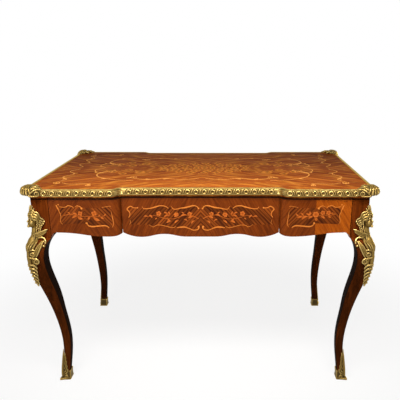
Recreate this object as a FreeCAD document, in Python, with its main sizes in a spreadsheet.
"""Bureau plat: a marquetry writing table with three frieze drawers, cabriole legs and gilt bronze mounts.

Frame: millimetres, +Z up, origin on the floor under the middle of the table, drawers facing -Y.
"""
import FreeCAD, Part
import math
import os
import Sketcher
from FreeCAD import Vector

# Driving dimensions, all in millimetres
SIZES = {
    # carcass and top
    "carcass_width": 1168,
    "carcass_depth": 730,
    "post_size": 60,
    "apron_height": 145,
    "top_thickness": 30,
    "top_overhang": 5,
    "top_side_overhang": 10,
    "top_corner_radius": 28,
    "front_recess": 25,
    "centre_half_width": 277,
    "break_radius": 25,
    "break_offset": 12,
    # bronze edge moulding and corner clasps
    "moulding_height": 24,
    "moulding_projection": 10,
    "moulding_lip": 5,
    "moulding_fillet": 3,
    "clasp_length": 56,
    "clasp_corner_radius": 40,
    "clasp_inner": 8,
    "clasp_lobe": 36,
    "clasp_lobe_swell": 9.8,
    "clasp_margin": 1,
    "clasp_swell": 16,
    "clasp_bulge": 3,
    "clasp_rise": 5,
    "clasp_dome": 9,
    "clasp_dome_radius": 26,
    "clasp_dome_inset": 14,
    # cabriole leg: climbs between stations, then ridge offset (outward positive) and width at each
    "sole_thickness": 6,
    "foot_climb": 54,
    "ankle_climb": 80,
    "lower_shin_climb": 80,
    "middle_shin_climb": 75,
    "upper_shin_climb": 85,
    "calf_climb": 70,
    "knee_climb": 90,
    "shoulder_climb": 60,
    "sole_offset": -34,
    "foot_offset": -37,
    "ankle_offset": -43,
    "lower_shin_offset": -38.5,
    "middle_shin_offset": -27,
    "upper_shin_offset": -8,
    "calf_offset": 10,
    "knee_offset": 22,
    "sole_width": 26,
    "foot_width": 27.5,
    "ankle_width": 29.5,
    "lower_shin_width": 33,
    "middle_shin_width": 36.5,
    "upper_shin_width": 46,
    "calf_width": 51,
    "knee_width": 56,
    "ridge_radius": 5,
    "leg_edge_radius": 3,
    # sabots
    "sabot_wall": 3.5,
    "sabot_toe": 10,
    "sabot_toe_rise": 16,
    "sabot_tongue_rise": 73,
    "sabot_tongue_root": 14,
    "sabot_tongue_reach": 13,
    "sabot_tongue_stand": 3.5,
    "tongue_middle_reach": 9.75,
    "tongue_middle_stand": 2.8,
    "tongue_tip_reach": 3.9,
    "tongue_tip_stand": 1.75,
    # knee mounts: drops between stations, reach along each leg face and stand off the ridge
    "crest_drop": 35,
    "crest_height": 32,
    "crest_width": 22,
    "head_drop": 78,
    "head_height": 58,
    "head_width": 38,
    "head_depth": 44,
    "hair_drop": 70,
    "hair_height": 66,
    "hair_width": 78,
    "hair_depth": 52,
    "hair_setback": 10,
    "collar_drop": 115,
    "strap_drop": 155,
    "tail_drop": 31,
    "neck_height": 30,
    "neck_width": 32,
    "collar_reach": 20,
    "strap_reach": 34,
    "chest_reach": 33,
    "waist_reach": 19,
    "tail_reach": 6,
    "collar_stand": 9,
    "strap_stand": 11,
    "chest_stand": 7,
    "waist_stand": 5,
    "tail_stand": 3,
    "scroll_radius": 19,
    "scroll_thickness": 11,
    "scroll_reach": 27,
    "scroll_stand": 3,
    "mount_edge": 1.5,
    # aprons: heights of the shaped lower edge above the shoulder of the leg
    "apron_thickness": 22,
    "arch_run": 24,
    "arch_rise": 19,
    "side_lobe_rise": 4,
    "side_lobe_offset": 45,
    "notch_rise": 12,
    "centre_lobe_fall": 5.5,
    "centre_lobe_offset": 66,
    "centre_arch_rise": 5.5,
    "centre_flat_half": 50,
    "centre_flat_fall": 4.5,
    "flank_lobe_half": 110,
    "flank_lobe_fall": 2,
    "tenon_length": 24,
    "tenon_thickness": 12,
    "tenon_shoulder": 6,
    # drawers
    "front_thickness": 24,
    "front_round": 22,
    "front_round_land": 1,
    "front_end_gap": 1,
    "front_top_gap": 3,
    "drawer_length": 560,
    "drawer_side_height": 83,
    "drawer_side_thickness": 12,
    "drawer_back_thickness": 12,
    "drawer_back_inset": 12,
    "drawer_bottom_thickness": 6,
    "drawer_bottom_lift": 8,
    "groove_depth": 5,
    "drawer_headroom": 2,
    "drawer_end_space": 8,
    "drawer_side_gap": 1,
    "tail_length": 16,
    "tail_root": 11,
    "tail_flare": 3.5,
    # carcass interior
    "seat_gap": 0.3,
    "top_rail_height": 20,
    "lower_rail_height": 18,
    "rail_depth": 88,
    "back_rail_thickness": 22,
    "divider_thickness": 18,
    "runner_width": 30,
    "guide_height": 30,
    "kicker_width": 40,
    # screws that hold the top down
    "screw_diameter": 5,
    "screw_head_diameter": 10,
    "screw_head_height": 3,
    "screw_bite": 16,
    "screw_spacing": 300,
    "screw_setback": 20,
    "kicker_screw_setback": 60,
}
RAIL_SCREWS = 4
DOVETAILS = 3
CORNER_ANGLE = 45
SAME_PLACE = 0.01

doc = FreeCAD.newDocument("bureau_plat")
sheet = doc.addObject("Spreadsheet::Sheet", "Size")
for row, (alias, value) in enumerate(SIZES.items(), 1):
    sheet.set(f"A{row}", alias)
    sheet.set(f"B{row}", str(value))
    sheet.setAlias(f"B{row}", alias)
doc.recompute()

sub_parts = []


def size(expression):
    """Value of an expression of the sheet's sizes."""
    return float(sheet.evalExpression(expression))


def total(*names):
    """Expression that adds up named sizes."""
    return "(" + " + ".join("Size." + name for name in names) + ")"


def minus(expression):
    return f"-({expression})"


# Heights, from the floor up
STATIONS = ["sole", "foot", "ankle", "lower_shin", "middle_shin", "upper_shin", "calf", "knee", "shoulder"]
CLIMBS = ["sole_thickness"] + [station + "_climb" for station in STATIONS[1:]]
LEVEL = {station: total(*CLIMBS[:place + 1]) for place, station in enumerate(STATIONS)}
SHOULDER = LEVEL["shoulder"]
UNDER_TOP = f"({SHOULDER} + Size.apron_height)"
TABLE_TOP = f"({UNDER_TOP} + Size.top_thickness)"
RAIL_UNDERSIDE = f"({UNDER_TOP} - Size.top_rail_height)"
DRAWER_TOP = f"({RAIL_UNDERSIDE} - Size.drawer_headroom)"
DRAWER_BASE = f"({DRAWER_TOP} - Size.drawer_side_height)"
RUNNER_TOP = f"({DRAWER_BASE} - Size.seat_gap)"
RUNNER_BASE = f"({RUNNER_TOP} - Size.lower_rail_height)"

# Plan distances from the middle of the table
HALF_WIDTH = "(Size.carcass_width / 2)"
HALF_DEPTH = "(Size.carcass_depth / 2)"
POST_X = f"({HALF_WIDTH} - Size.post_size)"
POST_Y = f"({HALF_DEPTH} - Size.post_size)"
CENTRE_Y = f"({HALF_DEPTH} - Size.front_recess)"
SIDE_RAIL_Y = f"({HALF_DEPTH} - Size.front_thickness - Size.seat_gap)"
CENTRE_RAIL_Y = f"({CENTRE_Y} - Size.front_thickness - Size.seat_gap)"
RAIL_BACK_Y = f"({HALF_DEPTH} - Size.rail_depth)"
BACK_RAIL_Y = f"({CENTRE_Y} - Size.front_thickness - Size.back_rail_thickness)"
TOP_X = f"({HALF_WIDTH} + Size.top_side_overhang)"
TOP_Y = f"({HALF_DEPTH} + Size.top_overhang)"
BREAK_X = "(Size.centre_half_width + Size.break_offset)"
BREAK_RUN = "sqrt(Size.front_recess * (4 * Size.break_radius - Size.front_recess))"
BREAK_OUT = f"({BREAK_X} + {BREAK_RUN} / 2)"
BREAK_IN = f"({BREAK_X} - {BREAK_RUN} / 2)"
DIVIDER_OUT = "(Size.centre_half_width + Size.divider_thickness / 2)"
DIVIDER_IN = "(Size.centre_half_width - Size.divider_thickness / 2)"


# Building blocks

def keep(item, name):
    """Name a finished sub-part and put it on the list of pieces to write."""
    item.Label = name
    sub_parts.append(item)
    return item


def arc_between(start, end, radius, turn):
    """Arc of under half a circle from start to end, curving to the left or to the right."""
    chord = end.sub(start)
    rise = math.sqrt(max(radius ** 2 - (chord.Length / 2) ** 2, 0))
    side = 1 if turn == "left" else -1
    normal = Vector(-chord.y, chord.x, 0).normalize()
    centre = start.add(end).multiply(0.5).add(normal.multiply(side * rise))
    first, last = (start, end) if turn == "left" else (end, start)
    begin = math.atan2(first.y - centre.y, first.x - centre.x)
    finish = math.atan2(last.y - centre.y, last.x - centre.x)
    if finish < begin:
        finish += 2 * math.pi
    return Part.ArcOfCircle(Part.Circle(centre, Vector(0, 0, 1), radius), begin, finish)


def sketch(body, name, role, offset, *wires, closed=True):
    """Sketch on an origin plane of its body, moved by offset along the plane's normal.

    A wire is a list of corners (x, y) or (x, y, radius, turn): the edge that leaves a corner is
    straight, or an arc of that radius.
    """
    drawing = body.newObject("Sketcher::SketchObject", name)
    plane = next(item for item in body.Origin.OriginFeatures if item.Role == role)
    drawing.AttachmentSupport = [(plane, "")]
    drawing.MapMode = "FlatFace"
    drawing.setExpression("AttachmentOffset.Base.z", offset)
    shapes, limits, texts = [], [], []
    for wire in wires:
        points = [Vector(size(corner[0]), size(corner[1]), 0) for corner in wire]
        first = len(shapes)
        count = len(wire) if closed else len(wire) - 1
        for place in range(count):
            corner = wire[place]
            start, end = points[place], points[(place + 1) % len(points)]
            number = first + place
            begin, finish = 1, 2
            if len(corner) == 2:
                shapes.append(Part.LineSegment(start, end))
            else:
                shapes.append(arc_between(start, end, size(corner[2]), corner[3]))
                limits.append(Sketcher.Constraint("Radius", number, size(corner[2])))
                texts.append(corner[2])
                if corner[3] == "right":
                    begin, finish = 2, 1
            ends = [(begin, corner)]
            if not closed and place == count - 1:
                ends.append((finish, wire[place + 1]))
            for position, (x, y, *_) in ends:
                limits.append(Sketcher.Constraint("DistanceX", -1, 1, number, position, size(x)))
                limits.append(Sketcher.Constraint("DistanceY", -1, 1, number, position, size(y)))
                texts += [x, y]
            if place < count - 1 or closed:
                after = (place + 1) % count
                after_corner = wire[after]
                after_begin = 2 if len(after_corner) > 2 and after_corner[3] == "right" else 1
                limits.append(Sketcher.Constraint("Coincident", number, finish, first + after, after_begin))
                texts.append(None)
    drawing.addGeometry(shapes, False)
    drawing.addConstraint(limits)
    for number, text in enumerate(texts):
        if text is not None:
            drawing.setExpression(f"Constraints[{number}]", text)
    return drawing


def new_body(name):
    return doc.addObject("PartDesign::Body", name)


def pad(body, drawing, length, backwards=False):
    """Pad a sketch of the body by a length."""
    feature = body.newObject("PartDesign::Pad", body.Name + "_pad")
    feature.Profile = drawing
    feature.setExpression("Length", length)
    feature.Reversed = backwards
    return feature


def loft(body, drawings):
    """Loft through sketches of the body."""
    feature = body.newObject("PartDesign::AdditiveLoft", body.Name + "_loft")
    feature.Profile = drawings[0]
    feature.Sections = drawings[1:]
    return feature


def board(name, x, y, z):
    """Rectangular board between two limits on each axis."""
    box = doc.addObject("Part::Box", name)
    for side, axis, (low, high) in zip(("Length", "Width", "Height"), "xyz", (x, y, z)):
        box.setExpression(side, f"({high}) - ({low})")
        box.setExpression("Placement.Base." + axis, low)
    return box


def fuse(name, *pieces):
    joined = doc.addObject("Part::MultiFuse", name)
    joined.Shapes = list(pieces)
    joined.Refine = True
    return joined


def cut(name, base, *tools):
    """Base less each tool."""
    for place, tool in enumerate(tools):
        less = doc.addObject("Part::Cut", f"{name}_{place}")
        less.Base = base
        less.Tool = tool
        base = less
    return base


def mirror(name, source, normal):
    twin = doc.addObject("Part::Mirroring", name)
    twin.Source = source
    twin.Normal = normal
    return twin


LEFT_RIGHT = Vector(1, 0, 0)
FRONT_BACK = Vector(0, 1, 0)


def four_corners(name, item):
    """Keep a front left piece and its three mirror images."""
    keep(item, name + "_front_left")
    right = keep(mirror(name + "_right", item, LEFT_RIGHT), name + "_front_right")
    keep(mirror(name + "_back", item, FRONT_BACK), name + "_back_left")
    keep(mirror(name + "_back_right", right, FRONT_BACK), name + "_back_right")


def ogee_radius(run, rise):
    """Radius of each of two equal arcs that swing between two levels with level ends."""
    return f"(({run})^2 + ({rise})^2) / (4 * ({rise}))"


def bow_radius(run, rise):
    """Radius of one arc that leaves level and climbs by rise over run."""
    return f"(({run})^2 + ({rise})^2) / (2 * ({rise}))"


def swell_radius(run, climb, swell):
    """Radius of an arc that stands out by swell from a chord with that run and climb."""
    return f"((({run})^2 + ({climb})^2) / 4 + ({swell})^2) / (2 * ({swell}))"


def ogee(start, end, rising):
    """Two corners, each with its arc, of an ogee from start to end: (x, y) texts, level at both ends.

    The run goes towards +X; rising says whether it climbs.
    """
    (x0, y0), (x1, y1) = start, end
    run = f"(({x1}) - ({x0}))"
    rise = f"(({y1}) - ({y0}))" if rising else f"(({y0}) - ({y1}))"
    radius = ogee_radius(run, rise)
    turns = ("left", "right") if rising else ("right", "left")
    middle = (f"(({x0}) + ({x1})) / 2", f"(({y0}) + ({y1})) / 2")
    return [(x0, y0, radius, turns[0]), (*middle, radius, turns[1])]


# Top panel, its bronze edge and the screws that hold it

def top_panel_body():
    """Panel whose front and back edges step in over the middle drawer by an ogee."""
    body = new_body("top_panel_body")
    radius, corner = "Size.break_radius", "Size.top_corner_radius"
    inner_y = f"({TOP_Y} - Size.front_recess)"
    step_y = f"({TOP_Y} - Size.front_recess / 2)"
    corner_x = f"({TOP_X} - {corner})"
    corner_y = f"({TOP_Y} - {corner})"
    outline = [
        (minus(corner_x), minus(TOP_Y)),
        (minus(BREAK_OUT), minus(TOP_Y), radius, "left"),
        (minus(BREAK_X), minus(step_y), radius, "right"),
        (minus(BREAK_IN), minus(inner_y)),
        (BREAK_IN, minus(inner_y), radius, "right"),
        (BREAK_X, minus(step_y), radius, "left"),
        (BREAK_OUT, minus(TOP_Y)),
        (corner_x, minus(TOP_Y), corner, "left"),
        (TOP_X, minus(corner_y)),
        (TOP_X, corner_y, corner, "left"),
        (corner_x, TOP_Y),
        (BREAK_OUT, TOP_Y, radius, "left"),
        (BREAK_X, step_y, radius, "right"),
        (BREAK_IN, inner_y),
        (minus(BREAK_IN), inner_y, radius, "right"),
        (minus(BREAK_X), step_y, radius, "left"),
        (minus(BREAK_OUT), TOP_Y),
        (minus(corner_x), TOP_Y, corner, "left"),
        (minus(TOP_X), corner_y),
        (minus(TOP_X), minus(corner_y), corner, "left"),
    ]
    pad(body, sketch(body, "top_outline", "XY_Plane", UNDER_TOP, outline), "Size.top_thickness")
    return body


def moulding_profile(edge):
    """Section of the edge moulding in its own plane: a half round between two fillets, facing -."""
    base = f"({TABLE_TOP} - Size.moulding_height)"
    lip = f"-({edge} + Size.moulding_lip)"
    half = "(Size.moulding_height / 2 - Size.moulding_fillet)"
    bulge = "(Size.moulding_projection - Size.moulding_lip)"
    radius = f"({half}^2 + {bulge}^2) / (2 * {bulge})"
    return [
        (minus(edge), base),
        (lip, base),
        (lip, f"{base} + Size.moulding_fillet", radius, "right"),
        (f"-({edge} + Size.moulding_projection)", f"{base} + Size.moulding_height / 2", radius, "right"),
        (lip, f"{TABLE_TOP} - Size.moulding_fillet"),
        (lip, TABLE_TOP),
        (minus(edge), TABLE_TOP),
    ]


def mouldings():
    """Eight lengths of edge moulding: three at the front, three at the back, one at each end."""
    inner_y = f"({TOP_Y} - Size.front_recess)"
    step_y = f"({TOP_Y} - Size.front_recess / 2)"
    start_x = f"({TOP_X} - Size.clasp_length)"
    flank = new_body("moulding_flank")
    path = [
        (minus(start_x), minus(TOP_Y)),
        (minus(BREAK_OUT), minus(TOP_Y), "Size.break_radius", "left"),
        (minus(BREAK_X), minus(step_y), "Size.break_radius", "right"),
        (minus(BREAK_IN), minus(inner_y)),
    ]
    base = f"{TABLE_TOP} - Size.moulding_height"
    spine = sketch(flank, "moulding_path", "XY_Plane", base, path, closed=False)
    profile = sketch(flank, "moulding_section", "YZ_Plane", minus(start_x), moulding_profile(TOP_Y))
    doc.recompute()
    pipe = flank.newObject("PartDesign::AdditivePipe", "moulding_pipe")
    pipe.Profile = profile
    pipe.Spine = (spine, ["Edge1", "Edge2", "Edge3"])
    four_corners("moulding", flank)

    middle = new_body("moulding_middle")
    profile = sketch(middle, "middle_section", "YZ_Plane", minus(BREAK_IN), moulding_profile(inner_y))
    pad(middle, profile, f"2 * {BREAK_IN}")
    keep(middle, "moulding_front_centre")
    keep(mirror("moulding_middle_back", middle, FRONT_BACK), "moulding_back_centre")

    end = new_body("moulding_end")
    start_y = f"({TOP_Y} - Size.clasp_length)"
    profile = sketch(end, "end_section", "XZ_Plane", start_y, moulding_profile(TOP_X))
    pad(end, profile, f"2 * {start_y}", backwards=True)
    keep(end, "moulding_left")
    keep(mirror("moulding_end_right", end, LEFT_RIGHT), "moulding_right")


def clasps(top):
    """Corner clasps: a domed cartouche that swells past the moulding, with lobed arms, on the panel."""
    body = new_body("clasp_body")
    base = f"({TABLE_TOP} - Size.moulding_height)"
    edge = "(Size.moulding_projection + Size.clasp_margin)"
    rim = "(Size.moulding_projection + Size.clasp_swell)"
    turn = f"(Size.clasp_corner_radius - {rim})"
    inner, lobe, length = "Size.clasp_inner", "Size.clasp_lobe", "Size.clasp_length"
    lobe_arc = (swell_radius(f"{length} - {lobe}", f"{lobe} - {inner}", "Size.clasp_lobe_swell"), "left")
    arm_arc = (swell_radius(f"{length} - {turn}", "Size.clasp_swell - Size.clasp_margin",
                            "Size.clasp_bulge"), "left")

    def at(x, y, *arc):
        """Corner at x inwards and y inwards of the panel's front left corner."""
        return (f"-({TOP_X}) + ({x})", f"-({TOP_Y}) + ({y})", *arc)

    outline = [
        at(length, minus(edge)),
        at(length, inner, *lobe_arc),
        at(lobe, lobe, *lobe_arc),
        at(inner, length),
        at(minus(edge), length, *arm_arc),
        at(minus(rim), turn, "Size.clasp_corner_radius", "left"),
        at(turn, minus(rim), *arm_arc),
    ]
    pad(body, sketch(body, "clasp_outline", "XY_Plane", base, outline),
        "Size.moulding_height + Size.clasp_rise")
    dome = doc.addObject("Part::Ellipsoid", "clasp_dome")
    dome.setExpression("Radius1", "Size.clasp_dome")
    dome.setExpression("Radius2", "Size.clasp_dome_radius")
    dome.setExpression("Radius3", "Size.clasp_dome_radius")
    dome.setExpression("Placement.Base.x", f"-({TOP_X}) + Size.clasp_dome_inset")
    dome.setExpression("Placement.Base.y", f"-({TOP_Y}) + Size.clasp_dome_inset")
    dome.setExpression("Placement.Base.z", f"{TABLE_TOP} + Size.clasp_rise")
    four_corners("clasp", cut("clasp", fuse("clasp_cast", body, dome), top))


def top_screws():
    """Countersunk screws up through the front rail and the kickers into the panel."""
    rail_y = f"-({RAIL_BACK_Y}) - Size.screw_setback"
    kicker_y = f"{BACK_RAIL_Y} - Size.kicker_screw_setback"
    spots = [(f"({2 * place + 1 - RAIL_SCREWS}) * Size.screw_spacing / 2", rail_y)
             for place in range(RAIL_SCREWS)]
    spots += [(x, kicker_y) for x in (minus(SIDE_MIDDLE), "0", SIDE_MIDDLE)]
    screws = []
    for number, (x, y) in enumerate(spots):
        shank = doc.addObject("Part::Cylinder", f"shank_{number}")
        shank.setExpression("Radius", "Size.screw_diameter / 2")
        shank.setExpression("Height", "Size.top_rail_height + Size.screw_bite")
        head = doc.addObject("Part::Cone", f"head_{number}")
        head.setExpression("Radius1", "Size.screw_head_diameter / 2")
        head.setExpression("Radius2", "Size.screw_diameter / 2")
        head.setExpression("Height", "Size.screw_head_height")
        for piece in (shank, head):
            piece.setExpression("Placement.Base.x", x)
            piece.setExpression("Placement.Base.y", y)
            piece.setExpression("Placement.Base.z", RAIL_UNDERSIDE)
        screws.append(fuse(f"screw_{number}", shank, head))
    group = doc.addObject("Part::Compound", "top_screws")
    group.Links = screws
    return keep(group, "top_screws")


# Legs, sabots and knee mounts, made at the front left corner

def leg_section(body, name, level, offset, width):
    """Square section of the leg with a rounded ridge, at a height, moved out by offset."""
    ridge, edge = "Size.ridge_radius", "Size.leg_edge_radius"
    x0 = f"(-({HALF_WIDTH}) - ({offset}))"
    y0 = f"(-({HALF_DEPTH}) - ({offset}))"
    x1 = f"({x0} + ({width}))"
    y1 = f"({y0} + ({width}))"
    outline = [
        (f"{x0} + {ridge}", y0),
        (f"{x1} - {edge}", y0, edge, "left"),
        (x1, f"{y0} + {edge}"),
        (x1, f"{y1} - {edge}", edge, "left"),
        (f"{x1} - {edge}", y1),
        (f"{x0} + {edge}", y1, edge, "left"),
        (x0, f"{y1} - {edge}"),
        (x0, f"{y0} + {ridge}", ridge, "left"),
    ]
    return sketch(body, name, "XY_Plane", level, outline)


def leg_body():
    """Square post, then a cabriole curve through the stations down to the sole."""
    body = new_body("leg_body")
    post = leg_section(body, "post_section", SHOULDER, "0", "Size.post_size")
    pad(body, post, "Size.apron_height")
    sections = [leg_section(body, "shoulder_section", SHOULDER, "0", "Size.post_size")]
    for station in reversed(STATIONS[:-1]):
        sections.append(leg_section(body, station + "_section", LEVEL[station],
                                    f"Size.{station}_offset", f"Size.{station}_width"))
    loft(body, sections)
    return body


def crescent(body, name, level, offset, reach, stand):
    """Section of a mount that wraps the leg's ridge: an arc over it, bedded in the leg behind."""
    x = f"(-({HALF_WIDTH}) - ({offset}))"
    y = f"(-({HALF_DEPTH}) - ({offset}))"
    edge = "Size.mount_edge"
    chord = f"(({reach}) + {edge})"
    rise = f"((({reach}) - {edge}) / 2 + ({stand}))"
    radius = f"({chord}^2 / 2 + 2 * {rise}^2) / (2 * sqrt(2) * {rise})"
    outline = [
        (f"{x} - {edge}", f"{y} + ({reach})", radius, "left"),
        (f"{x} - ({stand})", f"{y} - ({stand})", radius, "left"),
        (f"{x} + ({reach})", f"{y} - {edge}"),
        (f"{x} + ({reach})", f"{y} + ({reach})"),
    ]
    return sketch(body, name, "XY_Plane", level, outline)


def sabots(leg):
    """Bronze shoes: a flared toe on the floor, walls round the foot, a leaf tongue up the ridge."""
    shoe = new_body("sabot_shoe")
    toe = "(Size.sole_offset + Size.sabot_toe)"
    toe_width = "(Size.sole_width + Size.sabot_toe + Size.sabot_wall)"
    half_climb = "(Size.sole_thickness + Size.sabot_toe_rise)"
    between = "(Size.sabot_toe_rise / Size.foot_climb)"
    heel_offset = f"(Size.sole_offset + (Size.foot_offset - Size.sole_offset) * {between} + Size.sabot_wall)"
    heel_width = f"(Size.sole_width + (Size.foot_width - Size.sole_width) * {between} + 2 * Size.sabot_wall)"
    sections = [
        leg_section(shoe, "toe_floor", "0", toe, toe_width),
        leg_section(shoe, "toe_top", LEVEL["sole"], toe, toe_width),
        leg_section(shoe, "heel", half_climb, heel_offset, heel_width),
        leg_section(shoe, "rim", LEVEL["foot"], "Size.foot_offset + Size.sabot_wall",
                    "Size.foot_width + 2 * Size.sabot_wall"),
    ]
    loft(shoe, sections)

    tongue = new_body("sabot_tongue")
    climb = "(Size.ankle_offset - Size.foot_offset) / Size.ankle_climb"
    sections = [
        crescent(tongue, "tongue_root", f"{LEVEL['foot']} - Size.sabot_tongue_root", "Size.foot_offset",
                 "Size.sabot_tongue_reach", "Size.sabot_tongue_stand"),
        crescent(tongue, "tongue_middle", f"{LEVEL['foot']} + Size.sabot_tongue_rise / 2",
                 f"Size.foot_offset + {climb} * Size.sabot_tongue_rise / 2",
                 "Size.tongue_middle_reach", "Size.tongue_middle_stand"),
        crescent(tongue, "tongue_tip", f"{LEVEL['foot']} + Size.sabot_tongue_rise",
                 f"Size.foot_offset + {climb} * Size.sabot_tongue_rise",
                 "Size.tongue_tip_reach", "Size.tongue_tip_stand"),
    ]
    loft(tongue, sections)
    four_corners("sabot", cut("sabot", fuse("sabot_cast", shoe, tongue), leg))


def egg(name, drop, height, width, depth, setback):
    """Egg on the ridge of the post: depth runs across the corner, setback moves it inwards."""
    form = doc.addObject("Part::Ellipsoid", name)
    form.setExpression("Radius1", f"({height}) / 2")
    form.setExpression("Radius2", f"({depth}) / 2")
    form.setExpression("Radius3", f"({width}) / 2")
    form.Placement.Rotation = FreeCAD.Rotation(Vector(0, 0, 1), CORNER_ANGLE)
    form.setExpression("Placement.Base.x", f"-({HALF_WIDTH}) + ({setback}) / sqrt(2)")
    form.setExpression("Placement.Base.y", f"-({HALF_DEPTH}) + ({setback}) / sqrt(2)")
    form.setExpression("Placement.Base.z", f"{UNDER_TOP} - {drop}")
    return form


def shoulder_scroll(name, axis):
    """Ring of the shoulder scroll, lying against one outer face of the post; axis is its normal."""
    ring = doc.addObject("Part::Torus", name)
    ring.setExpression("Radius1", "Size.scroll_radius")
    ring.setExpression("Radius2", "Size.scroll_thickness / 2")
    ring.Placement.Rotation = FreeCAD.Rotation(Vector(0, 0, 1), axis)
    reach_x, reach_y = ("Size.scroll_reach", "-Size.scroll_stand")
    if axis.x:
        reach_x, reach_y = reach_y, reach_x
    ring.setExpression("Placement.Base.x", f"-({HALF_WIDTH}) + {reach_x}")
    ring.setExpression("Placement.Base.y", f"-({HALF_DEPTH}) + {reach_y}")
    ring.setExpression("Placement.Base.z", f"{UNDER_TOP} - Size.strap_drop")
    return ring


def knee_mounts(leg):
    """Bronze busts on the knees: crest, head and hair, neck, shoulder scrolls, chest and a tail."""
    body = new_body("mount_body")
    fall = "Size.tail_drop / Size.calf_climb"
    tail_offset = f"Size.calf_offset + (Size.upper_shin_offset - Size.calf_offset) * {fall}"
    stations = [
        ("collar", f"{UNDER_TOP} - Size.collar_drop", "0"),
        ("strap", f"{UNDER_TOP} - Size.strap_drop", "0"),
        ("chest", LEVEL["knee"], "Size.knee_offset"),
        ("waist", LEVEL["calf"], "Size.calf_offset"),
        ("tail", f"{LEVEL['calf']} - Size.tail_drop", tail_offset),
    ]
    loft(body, [crescent(body, "mount_" + name, level, offset, f"Size.{name}_reach", f"Size.{name}_stand")
                for name, level, offset in stations])
    neck = doc.addObject("Part::Cylinder", "neck")
    neck.setExpression("Radius", "Size.neck_width / 2")
    neck.setExpression("Height", "Size.neck_height")
    neck.setExpression("Placement.Base.x", minus(HALF_WIDTH))
    neck.setExpression("Placement.Base.y", minus(HALF_DEPTH))
    neck.setExpression("Placement.Base.z", f"{UNDER_TOP} - Size.collar_drop - Size.neck_height / 2")
    forms = [
        body,
        neck,
        egg("crest", "Size.crest_drop", "Size.crest_height", "Size.crest_width", "Size.crest_width", "0"),
        egg("hair", "Size.hair_drop", "Size.hair_height", "Size.hair_width", "Size.hair_depth",
            "Size.hair_setback"),
        egg("head", "Size.head_drop", "Size.head_height", "Size.head_width", "Size.head_depth", "0"),
        shoulder_scroll("scroll_front", FRONT_BACK),
        shoulder_scroll("scroll_side", LEFT_RIGHT),
    ]
    four_corners("bust_mount", cut("bust_mount", fuse("bust_cast", *forms), leg))


# Aprons and rails

def side_aprons():
    """End boards with a shaped lower edge, tenoned into the posts."""
    body = new_body("side_apron_board")
    level = SHOULDER
    arch = f"{level} + Size.arch_rise"
    lobe = f"{level} - Size.flank_lobe_fall"
    run_y = f"({POST_Y} - Size.arch_run)"
    half = "Size.flank_lobe_half"
    arch_arc = (bow_radius("Size.arch_rise", "Size.arch_run"), "right")
    outline = [
        (minus(POST_Y), UNDER_TOP),
        (minus(POST_Y), level, *arch_arc),
        *ogee((minus(run_y), arch), (minus(half), lobe), rising=False),
        (minus(half), lobe),
        *ogee((half, lobe), (run_y, arch), rising=True),
        (run_y, arch, *arch_arc),
        (POST_Y, level),
        (POST_Y, UNDER_TOP),
    ]
    drawing = sketch(body, "side_apron_outline", "YZ_Plane", minus(HALF_WIDTH), outline)
    pad(body, drawing, "Size.apron_thickness")
    inset = "(Size.apron_thickness - Size.tenon_thickness) / 2"
    tenon_x = (f"-({HALF_WIDTH}) + {inset}", f"-({HALF_WIDTH}) + {inset} + Size.tenon_thickness")
    tenon_y = f"({POST_Y} + Size.tenon_length)"
    tenon = board("side_tenon", tenon_x, (minus(tenon_y), tenon_y),
                  (RUNNER_TOP, f"{UNDER_TOP} - Size.tenon_shoulder"))
    left = keep(fuse("side_apron", body, tenon), "side_apron_left")
    keep(mirror("side_apron_twin", left, LEFT_RIGHT), "side_apron_right")
    return left


def stepped_rail(name, back, side, middle, low, high, facing):
    """Rail across the table whose outer face steps in behind the middle front; facing is -1 or 1."""
    body = new_body(name + "_board")
    step = "(Size.centre_half_width + Size.front_end_gap)" if facing < 0 else "Size.centre_half_width"

    def out(distance):
        return minus(distance) if facing < 0 else distance

    outline = [
        (minus(POST_X), out(back)),
        (minus(POST_X), out(side)),
        (minus(step), out(side)),
        (minus(step), out(middle)),
        (step, out(middle)),
        (step, out(side)),
        (POST_X, out(side)),
        (POST_X, out(back)),
    ]
    pad(body, sketch(body, name + "_plan", "XY_Plane", low, outline), f"({high}) - ({low})")
    tenon_x = f"({POST_X} + Size.tenon_length)"
    near = f"({side} - Size.tenon_shoulder)"
    far = f"({near} - Size.tenon_thickness)"
    tenon_y = (minus(near), minus(far)) if facing < 0 else (far, near)
    shoulder = "Size.tenon_shoulder / 2"
    tenon_z = (f"{low} + {shoulder}", f"{high} - {shoulder}")
    left = board(name + "_tenon_left", (minus(tenon_x), minus(POST_X)), tenon_y, tenon_z)
    right = board(name + "_tenon_right", (POST_X, tenon_x), tenon_y, tenon_z)
    return fuse(name, body, left, right)


# Drawers and false fronts

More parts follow.
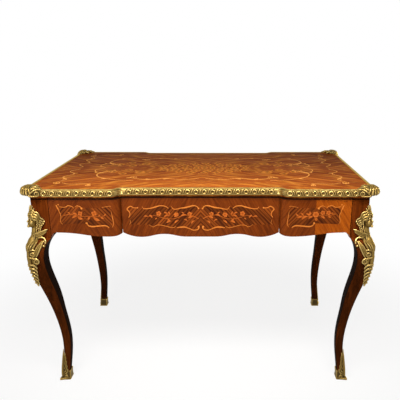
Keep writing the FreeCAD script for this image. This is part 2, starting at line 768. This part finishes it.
def flank_front(name, facing, outer, inner, thickness, top):
    """Front of a side drawer: level arch beside the post, lobe, and a rounded inner end."""
    body = new_body(name)
    level = SHOULDER
    lobe_x = "(Size.centre_half_width + Size.side_lobe_offset)"
    arch = (f"-({outer}) + Size.arch_run", f"{level} + Size.arch_rise")
    lobe = (minus(lobe_x), f"{level} + Size.side_lobe_rise")
    notch = (minus(inner), f"{level} + Size.notch_rise")
    notch_run = f"(({lobe_x}) - ({inner}))"
    outline = [
        (minus(outer), top),
        (minus(outer), level, bow_radius("Size.arch_rise", "Size.arch_run"), "right"),
        *ogee(arch, lobe, rising=False),
        (*lobe, bow_radius(notch_run, "(Size.notch_rise - Size.side_lobe_rise)"), "left"),
        notch,
        (minus(inner), top),
    ]
    offset = HALF_DEPTH if facing < 0 else minus(HALF_DEPTH)
    drawing = sketch(body, name + "_outline", "XZ_Plane", offset, outline)
    slab = pad(body, drawing, thickness, backwards=facing < 0)
    doc.recompute()
    x, y = -size(inner), facing * size(HALF_DEPTH)
    tall = max((edge.BoundBox.ZLength, f"Edge{number}") for number, edge in enumerate(slab.Shape.Edges, 1)
               if all(abs(end.X - x) < SAME_PLACE and abs(end.Y - y) < SAME_PLACE for end in edge.Vertexes))
    rounding = body.newObject("PartDesign::Fillet", name + "_round")
    rounding.Base = (slab, [tall[1]])
    rounding.setExpression("Radius", f"min(Size.front_round; {thickness} - Size.front_round_land)")
    return body


def centre_front(name, facing, half, top):
    """Front of the middle drawer: lobes at its ends, arches, and a flat drop in the middle."""
    body = new_body(name)
    level = SHOULDER
    lobe_x = "(Size.centre_half_width - Size.centre_lobe_offset)"
    arch_x = f"(({lobe_x} + Size.centre_flat_half) / 2)"
    flat_x = "Size.centre_flat_half"
    lobe_z = f"{level} - Size.centre_lobe_fall"
    arch_z = f"{level} + Size.centre_arch_rise"
    flat_z = f"{level} - Size.centre_flat_fall"
    notch_z = f"{level} + Size.notch_rise"
    end_arc = (bow_radius(f"(({half}) - {lobe_x})", "(Size.notch_rise + Size.centre_lobe_fall)"), "left")
    outline = [
        (minus(half), top),
        (minus(half), notch_z, *end_arc),
        *ogee((minus(lobe_x), lobe_z), (minus(arch_x), arch_z), rising=True),
        *ogee((minus(arch_x), arch_z), (minus(flat_x), flat_z), rising=False),
        (minus(flat_x), flat_z),
        *ogee((flat_x, flat_z), (arch_x, arch_z), rising=True),
        *ogee((arch_x, arch_z), (lobe_x, lobe_z), rising=False),
        (lobe_x, lobe_z, *end_arc),
        (half, notch_z),
        (half, top),
    ]
    offset = CENTRE_Y if facing < 0 else minus(CENTRE_Y)
    drawing = sketch(body, name + "_outline", "XZ_Plane", offset, outline)
    pad(body, drawing, "Size.front_thickness", backwards=facing < 0)
    return body


def drawer_side(name, low_x, front_y):
    """Drawer side with dovetails that enter the front; low_x is its left face."""
    body = new_body(name)
    plank = [
        (front_y, DRAWER_BASE),
        (f"{front_y} + Size.drawer_length", DRAWER_BASE),
        (f"{front_y} + Size.drawer_length", DRAWER_TOP),
        (front_y, DRAWER_TOP),
    ]
    pad(body, sketch(body, name + "_plank", "YZ_Plane", low_x, plank), "Size.drawer_side_thickness")
    tails = []
    for tail in range(DOVETAILS):
        middle = f"({DRAWER_BASE} + Size.drawer_side_height * {2 * tail + 1} / {2 * DOVETAILS})"
        root = "Size.tail_root / 2"
        tip = "(Size.tail_root / 2 + Size.tail_flare)"
        tails.append([
            (f"{front_y} - Size.tail_length", f"{middle} - {tip}"),
            (front_y, f"{middle} - {root}"),
            (front_y, f"{middle} + {root}"),
            (f"{front_y} - Size.tail_length", f"{middle} + {tip}"),
        ])
    pad(body, sketch(body, name + "_tails", "YZ_Plane", low_x, *tails), "Size.drawer_side_thickness")
    return body


def drawer_box(name, left_x, right_x, front, front_y, mirrored_sides):
    """Sides, back and bottom behind a drawer front; the front and sides take the sockets and grooves."""
    wall = "Size.drawer_side_thickness"
    floor = f"({DRAWER_BASE} + Size.drawer_bottom_lift)"
    floor_top = f"({floor} + Size.drawer_bottom_thickness)"
    tail_y = f"({front_y} + Size.drawer_length)"
    inside = (f"{left_x} + {wall} - Size.groove_depth", f"{right_x} - {wall} + Size.groove_depth")
    bottom_y = (f"{front_y} - Size.groove_depth", tail_y)
    bottom = keep(board(name + "_floor", inside, bottom_y, (floor, floor_top)), name + "_bottom")
    back_y = f"({tail_y} - Size.drawer_back_inset)"
    back = keep(board(name + "_rear", inside, (f"{back_y} - Size.drawer_back_thickness", back_y),
                      (floor_top, DRAWER_TOP)), name + "_back")
    left = drawer_side(name + "_plank_left", left_x, front_y)
    left_side = keep(cut(name + "_left", left, bottom, back), name + "_left_side")
    if mirrored_sides:
        right_side = keep(mirror(name + "_right", left_side, LEFT_RIGHT), name + "_right_side")
    else:
        right = drawer_side(name + "_plank_right", f"{right_x} - {wall}", front_y)
        right_side = keep(cut(name + "_right", right, bottom, back), name + "_right_side")
    face = keep(cut(name + "_face", front, left_side, right_side, bottom), name + "_front")
    return [face, left_side, right_side, back, bottom]


# Side drawer box: clear of the post at its outer end and of the divider at its inner end
BOX_OUT = f"({POST_X} - Size.drawer_end_space)"
BOX_IN = f"({DIVIDER_OUT} + Size.drawer_side_gap)"
BOX_CENTRE = f"({DIVIDER_IN} - Size.drawer_side_gap)"
SIDE_MIDDLE = f"(({BOX_OUT} + {BOX_IN}) / 2)"
FRONT_OUT = f"({POST_X} - Size.front_end_gap)"
FRONT_IN = "(Size.centre_half_width + Size.front_end_gap / 2)"
FRONT_CENTRE = "(Size.centre_half_width - Size.front_end_gap / 2)"
FRONT_TOP = f"({UNDER_TOP} - Size.front_top_gap)"


def drawers():
    """Three drawers; the right one is the mirror image of the left one."""
    flank = flank_front("flank_drawer_front", -1, FRONT_OUT, FRONT_IN, "Size.front_thickness", FRONT_TOP)
    side_y = f"(-({HALF_DEPTH}) + Size.front_thickness)"
    pieces = drawer_box("drawer_left", minus(BOX_OUT), minus(BOX_IN), flank, side_y, mirrored_sides=False)
    names = ["front", "right_side", "left_side", "back", "bottom"]
    for piece, name in zip(pieces, names):
        keep(mirror("drawer_right_" + name, piece, LEFT_RIGHT), "drawer_right_" + name)
    middle = centre_front("centre_drawer_front", -1, FRONT_CENTRE, FRONT_TOP)
    centre_y = f"(-({CENTRE_Y}) + Size.front_thickness)"
    drawer_box("drawer_centre", minus(BOX_CENTRE), BOX_CENTRE, middle, centre_y, mirrored_sides=True)


def false_fronts():
    """Back of the table: three fixed fronts that match the drawers."""
    flank = keep(flank_front("false_flank", 1, POST_X, "Size.centre_half_width", "Size.front_thickness",
                             UNDER_TOP), "false_front_left")
    keep(mirror("false_flank_twin", flank, LEFT_RIGHT), "false_front_right")
    keep(centre_front("false_centre", 1, "Size.centre_half_width", UNDER_TOP), "false_front_centre")


# Inside of the carcass

def dividers():
    """Upright boards between the drawers, notched round the two front rails."""
    body = new_body("divider_board")
    outline = [
        (minus(CENTRE_RAIL_Y), RUNNER_TOP),
        (minus(RAIL_BACK_Y), RUNNER_TOP),
        (minus(RAIL_BACK_Y), RUNNER_BASE),
        (BACK_RAIL_Y, RUNNER_BASE),
        (BACK_RAIL_Y, UNDER_TOP),
        (minus(RAIL_BACK_Y), UNDER_TOP),
        (minus(RAIL_BACK_Y), RAIL_UNDERSIDE),
        (minus(CENTRE_RAIL_Y), RAIL_UNDERSIDE),
    ]
    drawing = sketch(body, "divider_outline", "YZ_Plane", minus(DIVIDER_OUT), outline)
    pad(body, drawing, "Size.divider_thickness")
    keep(body, "divider_left")
    keep(mirror("divider_twin", body, LEFT_RIGHT), "divider_right")


def runners():
    """Bearers under the drawer sides; the outer ones carry a guide beside the drawer."""
    wall = f"({HALF_WIDTH} - Size.apron_thickness)"
    guide = f"({BOX_OUT} + Size.drawer_side_gap)"
    inner = f"({BOX_OUT} - Size.runner_width)"
    outer = new_body("runner_outer")
    section = [
        (minus(wall), RUNNER_BASE),
        (minus(inner), RUNNER_BASE),
        (minus(inner), RUNNER_TOP),
        (minus(guide), RUNNER_TOP),
        (minus(guide), f"{RUNNER_TOP} + Size.guide_height"),
        (minus(wall), f"{RUNNER_TOP} + Size.guide_height"),
    ]
    drawing = sketch(outer, "runner_section", "XZ_Plane", RAIL_BACK_Y, section)
    pad(outer, drawing, f"{RAIL_BACK_Y} + {BACK_RAIL_Y}", backwards=True)
    length = (minus(RAIL_BACK_Y), BACK_RAIL_Y)
    height = (RUNNER_BASE, RUNNER_TOP)
    near_x = (f"-({DIVIDER_OUT}) - Size.runner_width", minus(DIVIDER_OUT))
    middle_x = (minus(DIVIDER_IN), f"-({DIVIDER_IN}) + Size.runner_width")
    near = board("runner_inner", near_x, length, height)
    middle = board("runner_middle", middle_x, length, height)
    for item, name in ((outer, "outer"), (near, "inner"), (middle, "centre")):
        keep(item, f"runner_{name}_left")
        keep(mirror(f"runner_{name}_twin", item, LEFT_RIGHT), f"runner_{name}_right")


def kickers(screws):
    """Bars under the top that keep each open drawer from tipping."""
    length = (minus(RAIL_BACK_Y), BACK_RAIL_Y)
    height = (RAIL_UNDERSIDE, UNDER_TOP)
    for place, middle in (("left", minus(SIDE_MIDDLE)), ("centre", "0"), ("right", SIDE_MIDDLE)):
        width = (f"({middle}) - Size.kicker_width / 2", f"({middle}) + Size.kicker_width / 2")
        bar = board("kicker_bar_" + place, width, length, height)
        keep(cut("kicker_" + place, bar, screws), "kicker_" + place)


# Assembly

top_body = top_panel_body()
screw_group = top_screws()
keep(cut("top_panel", top_body, screw_group), "top_panel")
mouldings()
clasps(top_body)

leg_blank = leg_body()
sabots(leg_blank)
knee_mounts(leg_blank)
apron = side_aprons()
top_rail = stepped_rail("top_rail_blank", RAIL_BACK_Y, SIDE_RAIL_Y, CENTRE_RAIL_Y,
                        RAIL_UNDERSIDE, UNDER_TOP, -1)
keep(cut("front_top_rail", top_rail, screw_group), "front_top_rail")
lower_rail = keep(stepped_rail("front_lower_rail", RAIL_BACK_Y, SIDE_RAIL_Y, CENTRE_RAIL_Y,
                               RUNNER_BASE, RUNNER_TOP, -1), "front_lower_rail")
back_rail = keep(stepped_rail("back_rail", BACK_RAIL_Y, f"({HALF_DEPTH} - Size.front_thickness)",
                              f"({CENTRE_Y} - Size.front_thickness)", RUNNER_BASE, UNDER_TOP, 1), "back_rail")
front_leg = keep(cut("leg_front", leg_blank, apron, top_rail, lower_rail), "leg_front_left")
keep(mirror("leg_front_twin", front_leg, LEFT_RIGHT), "leg_front_right")
back_leg = keep(cut("leg_back", mirror("leg_blank_back", leg_blank, FRONT_BACK), apron, back_rail),
                "leg_back_left")
keep(mirror("leg_back_twin", back_leg, LEFT_RIGHT), "leg_back_right")
drawers()
false_fronts()
dividers()
runners()
kickers(screw_group)
doc.recompute()

faults = [item.Name for item in doc.Objects if {"Invalid", "Error"} & set(item.State)]
faults += [item.Label for item in sub_parts if item.Shape.isNull() or not item.Shape.isValid()]
if faults:
    raise RuntimeError("these objects failed: " + ", ".join(faults))

os.makedirs("parts", exist_ok=True)
for item in sub_parts:
    item.Shape.exportStep(f"parts/{item.Label}.step")
print(len(sub_parts), "pieces written")
